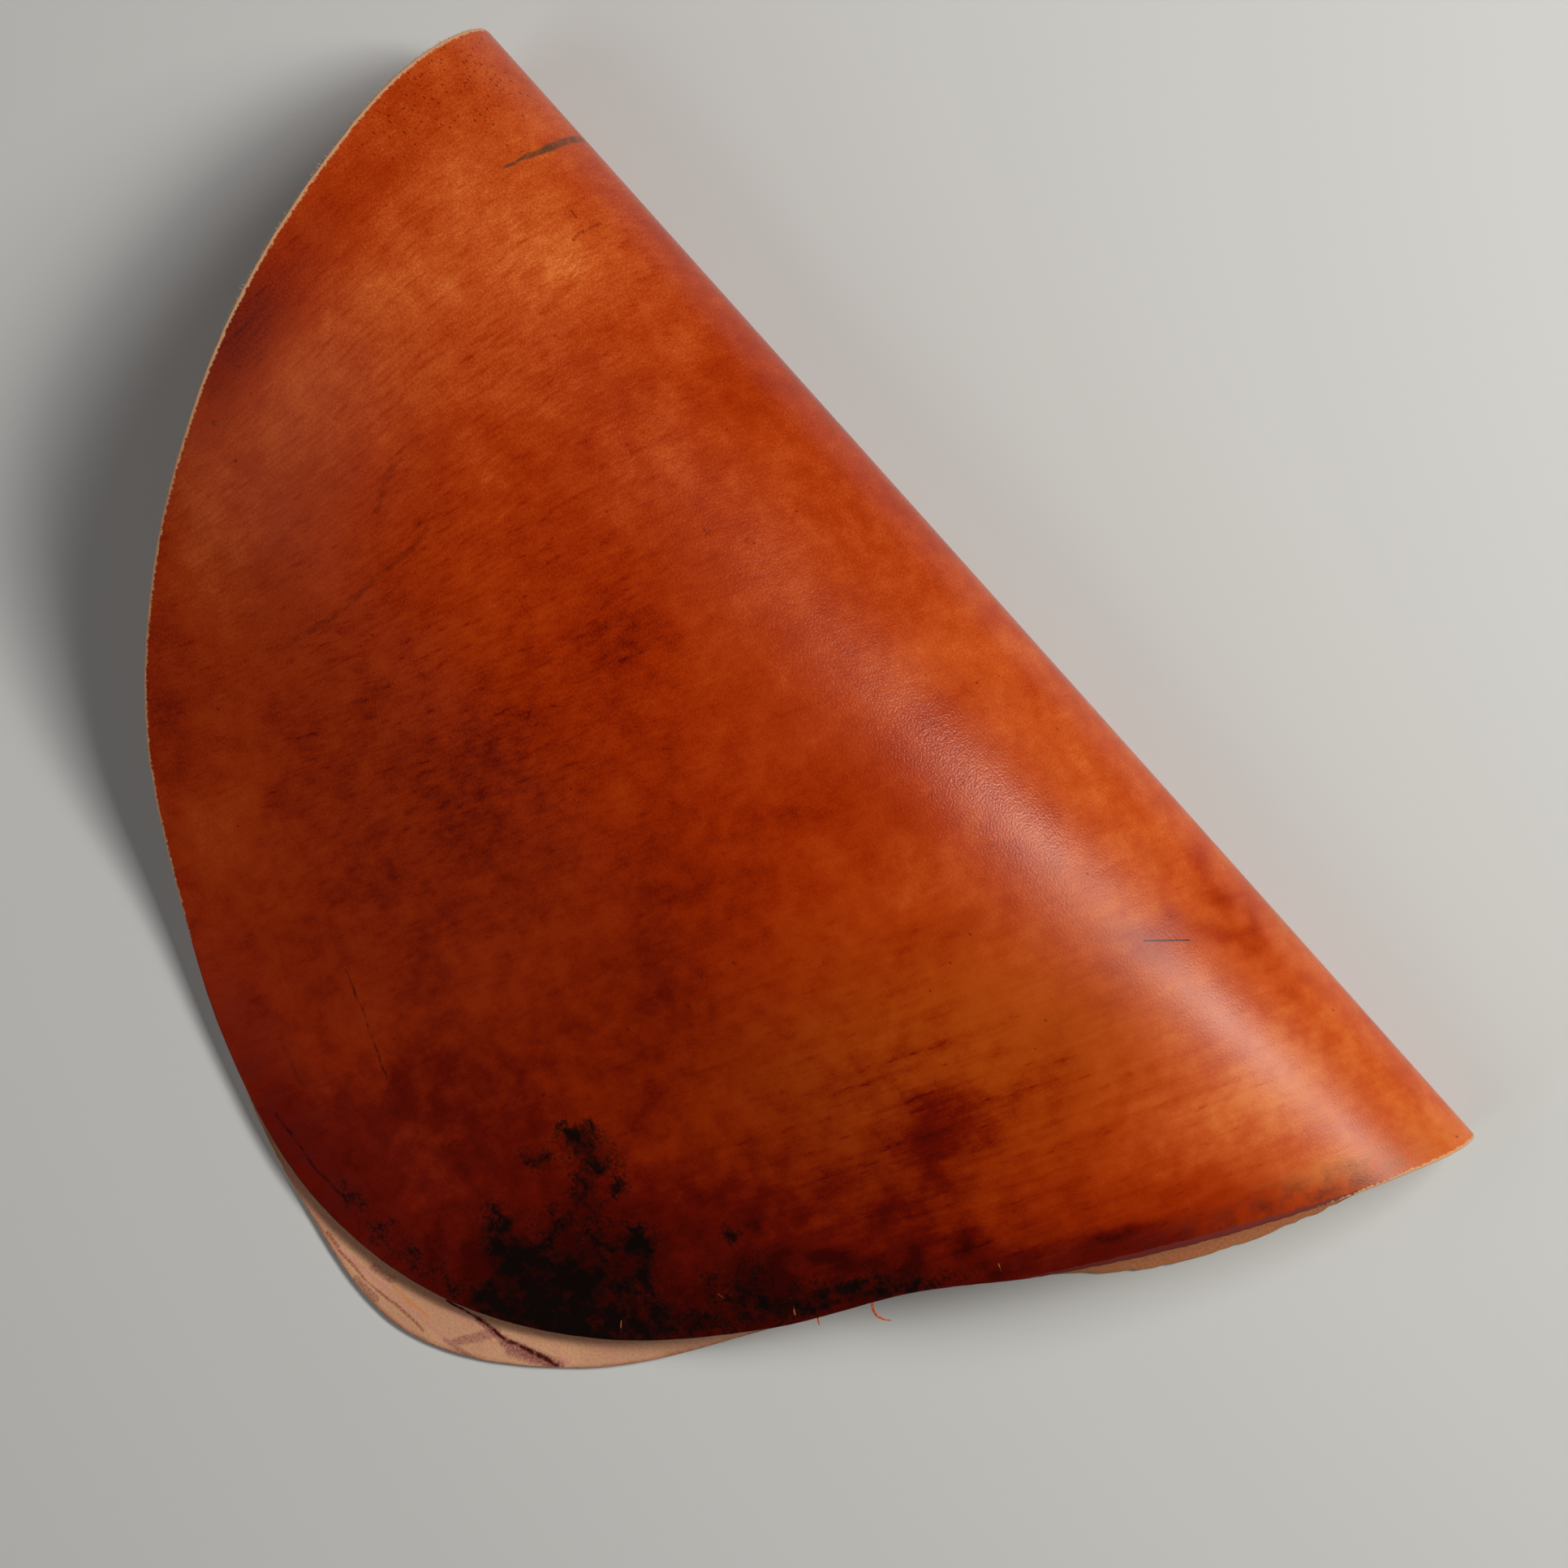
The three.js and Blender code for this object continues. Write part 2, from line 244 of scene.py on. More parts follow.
# Lines on the leather: x and v where they start, x and v where they end, half width.
DARK_LINES = (
    (-47.5, 243.5, -33.5, 249, 0.55), (-33.5, 249, -14, 257.5, 0.55),
    (-29.5, 292.5, -10, 294.5, 0.75), (-10, 294.5, 6, 293.5, 0.75),
    (21.5, 222, 21.5, 222, 1.2), (30.5, 169, 30.5, 169, 0.9), (-191.5, 160, -191.5, 160, 1.3),
)
# Creases: pressed in as shallow troughs, and darkened in colour along their lines as painted shade.
CREASES = (
    (-146.5, 124.5, -147, 127.5, 1.4), (-147, 127.5, -145, 132.5, 1.6),
    (-145, 132.5, -140, 141.5, 1.6), (-126.5, 133, -125, 140, 1.3),
    (-125, 140, -125.5, 149.5, 1.5), (-125.5, 149.5, -126.5, 172.5, 1.6),
    (-126.5, 172.5, -129.5, 185, 1.4), (-46, 275.5, -31, 280, 1.2),
)
CREASE_DEPTH, CREASE_SPREAD = 0.22, 2.4
GREY_SCARS = (
    (-193.5, 42.5, -192.5, 34, 0.8), (-192.5, 34, -191, 25, 1.4), (-191, 25, -188.5, 7, 1.9),
)
RED_MARKS = (
    (-164, 37, -163, 29.5, 0.8), (-164, 41.5, -164.5, 38, 0.8), (-171, 34.5, -169, 35, 0.7),
)
PURPLE_CUTS = ((107.5, 52, 117, 40.5, 0.38),)
PALE_SCRATCHES = (
    (91, 252, 93.5, 254, 0.25), (104, 222, 106, 222, 0.25), (119.5, 205.5, 124.5, 208, 0.35),
    (146.5, 156.5, 149.5, 157.5, 0.25), (151.5, 149, 154.5, 150, 0.25),
    (-161, 52, -162, 48.5, 0.4), (-159, 52, -160, 47.5, 0.45), (-157, 51.5, -158, 48, 0.4),
    (-157, 49, -157.5, 43.5, 0.4), (-155, 50, -155.5, 46.5, 0.4), (-160.5, 47.5, -160.5, 45, 0.4),
)
FLESH_ORANGE_LINES = ((36, -294, 43, -293.5, 1), (43, -293.5, 50, -292.5, 0.9))
FLESH_SMEARS = (
    (62, -291.5, 65.5, -285, 2), (65.5, -285, 68.5, -279, 2.2), (59, -293, 65, -291.5, 1.2),
    (65, -291.5, 72.5, -289.5, 1.2), (75.5, -280, 87, -273.5, 2), (27, -295, 34, -293, 1.8),
    (26, -301.5, 35, -301, 1.8),
)
FLESH_RED_LINES = (
    (16, -299.5, 29, -299.5, 0.75), (29, -299.5, 40, -297.5, 0.75), (40, -297.5, 52, -296.5, 0.75),
    (9.5, -298.5, 14.5, -299, 1.1),
)
FLESH_DARK_LINES = (
    (50, -284, 60, -281, 0.65), (60, -281, 71.5, -278.5, 0.8), (71.5, -278.5, 80.5, -275, 1),
    (80.5, -275, 89, -271.5, 1.2),
)
FLESH_HALOS = (
    (61.5, -281, 72, -279, 1.5), (72, -279, 81, -275.5, 2.6), (81, -275.5, 89.5, -271, 2.6),
)

# Torn strands, in mm: bearing of the root on the cut edge, then steps from it, x, y, z, half width there.
STRANDS = (
    (52.5, (
        (-1.0, 1.0, 0.0, 0.50), (0.9, -0.7, -0.2, 0.46), (2.6, -1.5, -0.8, 0.44), (4.1, -1.9, -1.6, 0.44),
        (5.6, -1.6, -2.2, 0.40), (7.2, -0.7, -2.4, 0.32), (8.7, 0.6, -2.3, 0.16))),
    (56.2, (
        (-0.8, 0.6, 0.0, 0.34), (0.6, -0.3, -0.2, 0.30), (1.6, -0.9, -0.6, 0.26), (2.6, -1.4, -1.1, 0.12))),
)
STRAND_SIDES = 8
STRAND_FLATNESS = 0.6

# Loose fibres of the cut edge, in mm: bearings from and to, how many, most length over the shortest.
FIBRES = ((146, 181, 330, 1.05), (112, 146, 170, 0.5))
FIBRE_SEED = 7
FIBRE_SHORTEST = 0.5
FIBRE_RADII = (0.09, 0.03)
FIBRE_INSET = 1.0            # way in from the edge that shows which way is out
FIBRE_ROOT = 0.25            # how deep in the edge they start
FIBRE_BAND = 0.4             # share of the thickness, up and down, in which they start
FIBRE_LEAN = (0.45, 0.35)    # how far they lean aside and up, for 1 outward

# Camera: height, and where it looks, from the fold's outermost line (mm, degrees)
CAMERA_HEIGHT = 1100.0
CAMERA_ALONG, CAMERA_ACROSS = 0.0, -86.3
CAMERA_ROLL = 48.1
HALF_FRAME = 248.0

# Soft lights, in metres: name, distance, length, width, roll in degrees, tint, whether it shows as a shine.
LIGHTS = (
    ("key", 1.6, 0.80, 0.50, 0, (1.0, 1.0, 1.0), False),
    ("streak", 1.6, 0.62, 0.22, 40, (1.0, 0.98, 0.86), True),
    ("fill", 2.0, 1.8, 1.2, 0, (1.0, 1.0, 1.0), False),
)
ROOM_TINT = (1.0, 0.99, 0.97, 1.0)
FLOOR_HALF, FLOOR_DROP = 4.0, 0.3 * MM


def srgb(red, green, blue):
    """A screen colour, 0 to 255, as Blender's linear one."""
    def linear(value):
        value /= 255.0
        return value / 12.92 if value <= 0.04045 else ((value + 0.055) / 1.055) ** 2.4
    return (linear(red), linear(green), linear(blue))


def curve(rows, column):
    """A smooth curve through a column of a table, against its first column."""
    at = np.array([row[0] for row in rows], float)
    to = np.array([row[column] for row in rows], float)
    before = np.maximum(np.arange(len(at)) - 1, 0)
    after = np.minimum(np.arange(len(at)) + 1, len(at) - 1)
    slope = (to[after] - to[before]) / (at[after] - at[before])

    def value(place):
        x = np.clip(place, at[0], at[-1])
        i = np.clip(np.searchsorted(at, x, "right") - 1, 0, len(at) - 2)
        step = at[i + 1] - at[i]
        q = (x - at[i]) / step
        return ((2 * q**3 - 3 * q**2 + 1) * to[i] + (q**3 - 2 * q**2 + q) * step * slope[i]
                + (3 * q**2 - 2 * q**3) * to[i + 1] + (q**3 - q**2) * step * slope[i + 1])
    return value


def eased(share):
    """A share that leaves 0 and reaches 1 softly."""
    share = np.clip(share, 0, 1)
    return share * share * (3 - 2 * share)


def read(rows, place):
    """Straight steps through a table of places and values."""
    return np.interp(place, *np.array(rows, float).T)


def between(bearing, start, end, ease):
    """1 between two bearings, and off to 0 at both."""
    return np.clip(np.minimum(bearing - start, end - bearing) / ease, 0, 1)


def down_at(x, v):
    """Distance down the picture from the fold's middle."""
    return DOWN_ALONG * x + DOWN_ACROSS * v


def from_centre(bearing, reach):
    """Places on the flat leather, by bearing and reach from its centre."""
    turn = np.radians(bearing)
    return FLAT_CENTRE[0] + reach * np.cos(turn), FLAT_CENTRE[1] + reach * np.sin(turn)


def fold_section():
    """The fold's section for a rise of 1: run, y from the outermost line, z."""
    turn_at = curve(TURN, 1)
    step = TURN[-1][0] / LOOP_STEPS
    turn = np.radians(turn_at((np.arange(LOOP_STEPS) + 0.5) * step))
    run = np.arange(LOOP_STEPS + 1) * step
    y = np.concatenate([[0.0], np.cumsum(np.cos(turn))]) * step
    z = np.concatenate([[0.0], np.cumsum(np.sin(turn))]) * step
    outer = int(np.argmax(y))
    return (run - run[outer]) / z[-1], (y - y[outer]) / z[-1], z / z[-1]


SECTION_RUN, SECTION_Y, SECTION_Z = fold_section()
rise_at = curve(STATIONS, 1)
landing_at = curve(STATIONS, 2)


def reach_at(bearing):
    """Reach of the oval's edge at any bearing, smooth all round."""
    reach = np.array(OUTLINE)
    place = np.mod(bearing, 360.0) / (360.0 / len(reach))
    i = np.floor(place).astype(int) % len(reach)
    q = place - np.floor(place)
    a, b, c, d = (np.roll(reach, shift)[i] for shift in (1, 0, -1, -2))
    return b + 0.5 * q * (c - a + q * (2 * a - 5 * b + 4 * c - d + q * (3 * (b - c) + d - a)))


def ragged_at(bearing):
    """How far the cut wanders from the smooth outline, mm."""
    turn = np.radians(bearing)
    depth = np.full_like(turn, RAGGED_REST)
    for start, end, most in RAGGED:
        depth = np.maximum(depth, most * between(np.mod(bearing, 360.0), start, end, RAGGED_EASE))
    return depth * sum(
        np.sin(count * turn + phase + 4 * np.sin(11 * turn + phase) + 2 * np.sin(29 * turn))
        for count, phase in RAGGED_WAVES)


def fallen(share):
    """Share of the drop from crest to landing that is done at a share of the way."""
    x = np.clip(share, 0, 1)
    steepest = 1 / (1 - FALL_IN / 2 - FALL_OUT / 2)
    down = np.where(x < FALL_IN, x * x / (2 * FALL_IN), x - FALL_IN / 2)
    end = np.maximum(x - (1 - FALL_OUT), 0)
    return steepest * (down - end * end / (2 * FALL_OUT))


def wave_at(x, v):
    """Slow waves of the upper layer, mm."""
    return eased((v - WAVE_FROM) / (WAVE_FULL - WAVE_FROM)) * sum(
        height * np.sin(2 * np.pi * (x / along + v / across) + phase)
        for height, along, across, phase in WAVES)


def trough_at(x, v):
    """Depth of the creases, pressed softly into the leather, mm."""
    depth = np.zeros_like(x)
    for start_x, start_v, end_x, end_v, _ in CREASES:
        along, across = end_x - start_x, end_v - start_v
        share = ((x - start_x) * along + (v - start_v) * across) / (along**2 + across**2)
        share = np.clip(share, 0, 1)
        apart = np.hypot(x - start_x - share * along, v - start_v - share * across)
        depth = np.maximum(depth, CREASE_DEPTH * np.exp(-(apart / CREASE_SPREAD) ** 2))
    return depth


def middle(x, v, thickness):
    """Middle of the leather's thickness at places on it: an array of x, y, z in mm."""
    rise = rise_at(x)
    run = v / rise
    flat = run < SECTION_RUN[0]
    past = v - SECTION_RUN[-1] * rise
    y = np.where(flat, SECTION_Y[0] * rise + v - SECTION_RUN[0] * rise,
                 rise * np.interp(run, SECTION_RUN, SECTION_Y))
    z = np.where(flat, 0.0, rise * np.interp(run, SECTION_RUN, SECTION_Z))
    y = np.where(past > 0, SECTION_Y[-1] * rise - past, y)
    way = past / (landing_at(x) + SECTION_Y[-1] * rise)
    z = np.where(past > 0, rise - (rise - LANDING_HEIGHT) * fallen(way), z)
    return np.stack([x, y, z + wave_at(x, v) - trough_at(x, v) + thickness / 2], -1)


def flat_places(p, q, ring):
    """A square mesh and the rings around it on the flat oval: x, v, bearing, mm left to the edge."""
    q = np.interp((q + 1) / 2, [band[1] for band in BANDS], [band[0] for band in BANDS])
    a = p * np.sqrt(1 - q * q / 2)
    b = q * np.sqrt(1 - p * p / 2)
    bearing = np.degrees(np.arctan2(b, a))
    share = np.hypot(a, b) * np.array(EDGE_RINGS)[ring]
    edge = reach_at(bearing) + ragged_at(bearing) * share**8
    return *from_centre(bearing, share * edge), np.mod(bearing, 360.0), (1 - share) * edge


def drawn_places(x, v):
    """Places along and across the drawn wrinkles, mm."""
    right = DOWN_ACROSS * x - DOWN_ALONG * v
    down = down_at(x, v)
    at, rise = np.array(WRINKLE_RISE_LEFT).T
    steps = np.linspace(at[0], at[-1], 521)
    more = np.interp(steps, at, rise) - WRINKLE_RISE
    climbed = np.cumsum(more) * (steps[1] - steps[0])
    climbed -= climbed[-1]
    left = eased((WRINKLE_LEFT_TO[1] - down) / (WRINKLE_LEFT_TO[1] - WRINKLE_LEFT_TO[0]))
    return right, down + WRINKLE_RISE * right + left * np.interp(right, steps, climbed)


def covered(rows, x, v):
    """Soft oval spots over the flat leather, never more than 1 where they lie on each other."""
    bare = np.ones_like(x)
    for row in rows:
        bare *= 1 - np.clip(field((row,), x, v), 0, 1)
    return 1 - bare


def field(rows, x, v):
    """Sum of soft oval spots over the flat leather."""
    total = np.zeros_like(x)
    for at_x, at_v, half_length, half_width, turn, strength in rows:
        cos, sin = math.cos(math.radians(turn)), math.sin(math.radians(turn))
        along = ((x - at_x) * cos + (v - at_v) * sin) / half_length
        across = ((v - at_v) * cos - (x - at_x) * sin) / half_width
        total += strength * np.exp(-0.5 * (along**2 + across**2))
    return total


def tone_at(x, v):
    """Tone of the grain side's colour over the flat leather, with a small painted highlight at the fold's
    low end.
    """
    tone = read(TONE_DOWN, down_at(x, v))
    near = eased((FOLD_TONE_TO - v) / (FOLD_TONE_TO - FOLD_TONE_FROM))
    return tone + (read(TONE_BY_FOLD, x) - tone) * near + field(CLOUDS_AND_TIP_HIGHLIGHT, x, v)


def shell_fields(x, v, bearing, edge):
    """What the materials read at each place on the leather, by name."""
    rubbed = between(bearing, *RUBBED_EDGE)
    return {
        "tone": tone_at(x, v),
        "amber": covered(AMBER_CLOUDS, x, v),
        "haze": covered(PAINTED_SHEEN_PATCHES, x, v),
        "purple": field(PURPLE_RIMS, x, v),
        "mauve": covered(MAUVE_SMEARS, x, v),
        "black": covered(BLACK_STAINS, x, v),
        "pores": field(PORE_PATCHES, x, v),
        "drawn_share": DRAWN_REST + (1 - DRAWN_REST) * covered(DRAWN_PATCHES, x, v),
        "wrinkled": WRINKLED_REST + (1 - WRINKLED_REST) * covered(WRINKLED_PATCHES, x, v),
        "pebbled": read(PEBBLED, down_at(x, v)),
        "dulled": read(DULLED, x),
        "edge": edge,
        "burnish": rubbed,
        "rubbed_band": read(RUBBED_BAND, bearing),
        "pale_rim": (1 - rubbed) * read(PALE_RIM, bearing),
        "warm": between(bearing, *WARM_END) * np.clip((WARM_REACH - edge) / WARM_FADE, 0, 1),
    }


def shell_shift(thickness):
    """What moves the fold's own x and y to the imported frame's, in mm."""
    bearing = np.arange(0, 360, 0.25)
    points = np.vstack([middle(*from_centre(bearing, reach_at(bearing)), thickness), [[0.0, 0.0, 0.0]]])
    low, high = points.min(0), points.max(0)
    along = (SHELL_LOW.x + SHELL_HIGH.x) / 2 / MM - (low[0] + high[0]) / 2
    return np.array([along, SHELL_HIGH.y / MM - high[1] - thickness / 2, 0.0])


class NodeBench:
    """Adds nodes to one tree and joins them. A plain value is set on the socket itself."""

    def __init__(self, tree):
        self.tree = tree
        tree.nodes.clear()

    def put(self, socket, value):
        if isinstance(value, bpy.types.NodeSocket):
            self.tree.links.new(value, socket)
        elif value is not None:
            socket.default_value = value

    def add(self, kind, inputs=None, **settings):
        node = self.tree.nodes.new(kind)
        for name, value in settings.items():
            setattr(node, name, value)
        for name, value in (inputs or {}).items():
            self.put(node.inputs[name], value)
        return node

    def attribute(self, name, output="Fac"):
        return self.add("ShaderNodeAttribute", attribute_name=name).outputs[output]

    def math(self, operation, first, second=None, clamp=False):
        inputs = {0: first} if second is None else {0: first, 1: second}
        return self.add("ShaderNodeMath", inputs, operation=operation, use_clamp=clamp).outputs[0]

    def times(self, first, second, clamp=False):
        return self.math("MULTIPLY", first, second, clamp)

    def vector(self, operation, first, second=None, scale=None, output=0):
        inputs = {0: first}
        if second is not None:
            inputs[1] = second
        if scale is not None:
            inputs["Scale"] = scale
        return self.add("ShaderNodeVectorMath", inputs, operation=operation).outputs[output]

    def noise(self, place, scale, detail=4.0, roughness=0.5, output=0, solid=False):
        return self.add("ShaderNodeTexNoise", {
            "Vector": place, "Scale": scale, "Detail": detail, "Roughness": roughness},
            noise_dimensions="3D" if solid else "2D").outputs[output]

    def swing(self, value, amount):
        """A 0 to 1 pattern as plus or minus half the amount."""
        return self.times(self.math("SUBTRACT", value, 0.5), amount)

    def wander(self, place, per_metre, reach):
        """The place moved about, up to half the reach each way."""
        off = self.vector("SUBTRACT", self.noise(place, per_metre, 2.0, 0.6, output=1), (0.5, 0.5, 0.5))
        return self.vector("ADD", place, self.vector("SCALE", off, scale=reach))

    def step(self, value, start, end, low=0.0, high=1.0):
        return self.add("ShaderNodeMapRange", {
            "Value": value, "From Min": start, "From Max": end, "To Min": low, "To Max": high},
            interpolation_type="SMOOTHSTEP").outputs[0]

    def mix(self, share, first, second):
        """A share of the second colour over the first, each a socket or red, green and blue."""
        node = self.add("ShaderNodeMix", {0: share}, data_type="RGBA")
        for socket, value in ((node.inputs[6], first), (node.inputs[7], second)):
            self.put(socket, value if isinstance(value, bpy.types.NodeSocket) else (*value, 1.0))
        return node.outputs[2]

    def stretch(self, place, turn, along, across):
        """The place turned, and scaled by 1 over the pattern's length and width in metres."""
        turned = self.add("ShaderNodeVectorRotate", {"Vector": place, "Angle": math.radians(turn)},
                          rotation_type="Z_AXIS").outputs[0]
        return self.vector("MULTIPLY", turned, (1 / along, 1 / across, 1 / across))

    def colour_steps(self, value, stops):
        """Colours in even steps from 0 to 1."""
        ramp = self.add("ShaderNodeValToRGB", {"Fac": value})
        elements = ramp.color_ramp.elements
        while len(elements) < len(stops):
            elements.new(0.5)
        for i, (element, colour) in enumerate(zip(elements, stops)):
            element.position = i / (len(stops) - 1)
            element.color = (*colour, 1.0)
        return ramp.outputs[0]

    def total(self, values, operation="MAXIMUM"):
        result = values[0]
        for value in values[1:]:
            result = self.math(operation, result, value)
        return result


def node_group(name, places, values, results):
    """An empty shader node group with its sockets, or None if it is made already."""
    if name in bpy.data.node_groups:
        return None
    group = bpy.data.node_groups.new(name, "ShaderNodeTree")
    for labels, way, kind in (
            (places, "INPUT", "NodeSocketVector"), (values, "INPUT", "NodeSocketFloat"),
            (results, "OUTPUT", "NodeSocketFloat")):
        for label in labels:
            group.interface.new_socket(label, in_out=way, socket_type=kind)
    return group


def line_group():
    """Mask of a short line on the flat leather, tapering off at its sides."""
    group = node_group("Line on leather", ("Place", "Start", "End"), ("Half Width",), ("Mask",))
    if group:
        bench = NodeBench(group)
        given = bench.add("NodeGroupInput").outputs
        way = bench.vector("SUBTRACT", given["End"], given["Start"])
        off = bench.vector("SUBTRACT", given["Place"], given["Start"])
        share = bench.math("DIVIDE", bench.vector("DOT_PRODUCT", off, way, output="Value"),
                           bench.vector("DOT_PRODUCT", way, way, output="Value"), clamp=True)
        beside = bench.vector("SUBTRACT", off, bench.vector("SCALE", way, scale=share))
        apart = bench.math("DIVIDE", bench.vector("LENGTH", beside, output="Value"), given["Half Width"])
        bench.add("NodeGroupOutput", {"Mask": bench.step(apart, 1.0, 0.35)})
    return bpy.data.node_groups["Line on leather"]


def grain_group():
    """Drawn wrinkles and fine pebble of the polished side, from flat and drawn places."""
    group = node_group("Drawn grain", ("Place", "Drawn"), ("Pebble Share", "Wrinkle Share"),
                       ("Wisps", "Threads", "Wrinkles", "Pebble", "Height"))
    if group:
        bench = NodeBench(group)
        given = bench.add("NodeGroupInput").outputs
        wisps = bench.noise(bench.vector("MULTIPLY", given["Drawn"], WISPS_PER_M), 1.0, 3.0, 0.6)
        wrinkles = bench.noise(bench.vector("MULTIPLY", given["Drawn"], WRINKLES_PER_M), 1.0, 2.0, 0.6)
        pebble = bench.noise(given["Place"], PEBBLES_PER_M, 1.0, 0.6)
        threads = bench.times(bench.step(wrinkles, 0.58, 0.78), bench.step(wisps, 0.56, 0.36))
        height = bench.math("ADD", bench.times(wrinkles, given["Wrinkle Share"]),
                            bench.times(pebble, given["Pebble Share"]))
        bench.add("NodeGroupOutput", {
            "Wisps": wisps, "Threads": threads, "Wrinkles": wrinkles, "Pebble": pebble, "Height": height})
    return bpy.data.node_groups["Drawn grain"]


def lines_mask(bench, place, rows):
    """One mask for all lines of a table."""
    return bench.total([bench.add("ShaderNodeGroup", {
        "Place": place, "Start": (start_x * MM, start_v * MM, 0.0), "End": (end_x * MM, end_v * MM, 0.0),
        "Half Width": half_width * MM}, node_tree=line_group()).outputs["Mask"]
        for start_x, start_v, end_x, end_v, half_width in rows])


def lay_lines(bench, colour, place, layers):
    """Lays lines on a colour. Each row: lines, paint, the pattern that breaks them up, its range, shares."""
    for rows, paint, pattern, start, end, faint, strong in layers:
        share = bench.times(lines_mask(bench, place, rows), bench.step(pattern, start, end, faint, strong))
        colour = bench.mix(share, colour, paint)
    return colour


def new_material(name):
    material = bpy.data.materials.new(name)
    material.use_nodes = True
    return material, NodeBench(material.node_tree)


def finish_material(bench, colour, roughness, height, bump, specular=0.3, distance=0.0004):
    """The shader of a leather or fibre material, with its relief."""
    relief = bench.add("ShaderNodeBump", {"Height": height, "Strength": bump, "Distance": distance})
    shader = bench.add("ShaderNodeBsdfPrincipled", {
        "Base Color": colour, "Roughness": roughness, "Specular IOR Level": specular,
        "Normal": relief.outputs[0]})
    bench.add("ShaderNodeOutputMaterial", {"Surface": shader.outputs[0]})


def grain_material(colours):
    """Polished grain side: clouded cognac, black stains, drawn wrinkles, scars and hair pores."""
    material, bench = new_material("polished_grain")
    place = bench.attribute("flat", "Vector")
    wandering = bench.wander(place, 150.0, 0.0016)
    pebbled, wrinkled, drawn_share = map(bench.attribute, ("pebbled", "wrinkled", "drawn_share"))
    grain = bench.add("ShaderNodeGroup", {
        "Place": place, "Drawn": bench.attribute("drawn", "Vector"),
        "Pebble Share": bench.times(pebbled, PEBBLE_HEIGHT),
        "Wrinkle Share": bench.times(wrinkled, WRINKLE_HEIGHT)}, node_tree=grain_group()).outputs

    clouds = bench.noise(place, CLOUDS_PER_M, 4.0, 0.6)
    mottle = bench.noise(wandering, MOTTLES_PER_M, 4.0, 0.62)
    soot = bench.noise(wandering, SOOT_PER_M, 3.0, 0.65)
    speckle = bench.noise(place, SPECKLES_PER_M, 1.0)
    threads = bench.times(grain["Threads"], THREAD_SWAY)
    tone = bench.total([
        bench.attribute("tone"), bench.swing(clouds, CLOUD_SWAY), bench.swing(mottle, MOTTLE_SWAY),
        bench.times(bench.swing(grain["Wisps"], WISP_SWAY), drawn_share),
        bench.times(threads, bench.math("MAXIMUM", drawn_share, wrinkled)),
        # Painted shade: the troughs of the wrinkles made darker in colour.
        bench.times(bench.swing(grain["Wrinkles"], WRINKLE_TROUGH_SHADE), wrinkled),
        bench.times(bench.swing(grain["Pebble"], PEBBLE_SWAY), pebbled)], "ADD")
    colour = bench.colour_steps(bench.times(tone, 0.8), (
        colours.deepest, colours.dark, colours.red_brown, colours.chestnut, colours.orange, colours.amber))

    yellow = bench.times(bench.attribute("amber"), bench.step(tone, 0.25, 0.7, 0.0, 0.6), clamp=True)
    colour = bench.mix(yellow, colour, colours.yellow_brown)
    # Painted sheen: the upper left made paler and greyer in colour, as a soft reflection would show.
    colour = bench.mix(bench.times(bench.attribute("haze"), 0.32), colour, colours.haze)
    purple = bench.times(bench.attribute("purple"), bench.step(mottle, 0.2, 0.75), clamp=True)
    colour = bench.mix(bench.times(purple, 0.66), colour, colours.purple)
    colour = bench.mix(bench.times(bench.attribute("mauve"), 0.62), colour, colours.mauve)

    stain = bench.attribute("black")
    grains = bench.times(bench.swing(speckle, 0.9), bench.step(stain, 0.9, 0.3))
    black = bench.total([stain, bench.swing(mottle, 1.7), bench.swing(soot, 1.2), grains], "ADD")
    black = bench.times(bench.step(black, 0.05, 1.02), bench.step(stain, 0.03, 0.2))
    colour = bench.mix(bench.times(black, 0.97), colour, colours.black)

    colour = lay_lines(bench, colour, wandering, (
        (DARK_LINES, colours.black, soot, 0.36, 0.60, 0.132, 0.66),
        # Painted shade along the creases.
        (CREASES, colours.deepest, soot, 0.35, 0.62, 0.06, 0.32),
        (GREY_SCARS, colours.grey_scar, soot, 0.30, 0.60, 0.45, 0.85),
        (RED_MARKS, colours.dark, soot, 0.35, 0.60, 0.20, 0.60)))
    cut = bench.times(lines_mask(bench, place, PURPLE_CUTS), 0.92)
    colour = bench.mix(cut, colour, colours.cut_line)
    colour = bench.mix(bench.times(pores_mask(bench, place), 0.6), colour, colours.pore)
    scratches = bench.times(lines_mask(bench, wandering, PALE_SCRATCHES), 0.55)
    colour = bench.mix(scratches, colour, colours.scratch)

    edge, rubbed, pale = map(bench.attribute, ("edge", "rubbed_band", "pale_rim"))
    band = bench.math("SUBTRACT", bench.math("ADD", edge, bench.swing(soot, 0.8)), rubbed)
    band = bench.times(bench.step(band, 0.12, -0.12), bench.step(rubbed, 0.15, 0.5))
    colour = bench.mix(bench.times(band, 0.8), colour, colours.burnish)
    rim = bench.math("SUBTRACT", bench.math("ADD", edge, bench.swing(speckle, 1.3)), pale)
    rim = bench.times(bench.step(rim, 0.45, -0.15), bench.step(pale, 0.05, 0.4, 0.0, 0.86))
    colour = bench.mix(rim, colour, colours.cut_edge)

    roughness = bench.total([
        bench.step(clouds, 0.3, 0.7, 0.15, 0.20), bench.times(pebbled, 0.08),
        bench.times(bench.attribute("dulled"), 0.09),
        bench.times(bench.math("MAXIMUM", rim, band), 0.25)], "ADD")
    finish_material(bench, colour, roughness, height=grain["Height"], bump=0.12, specular=0.28)
    return material


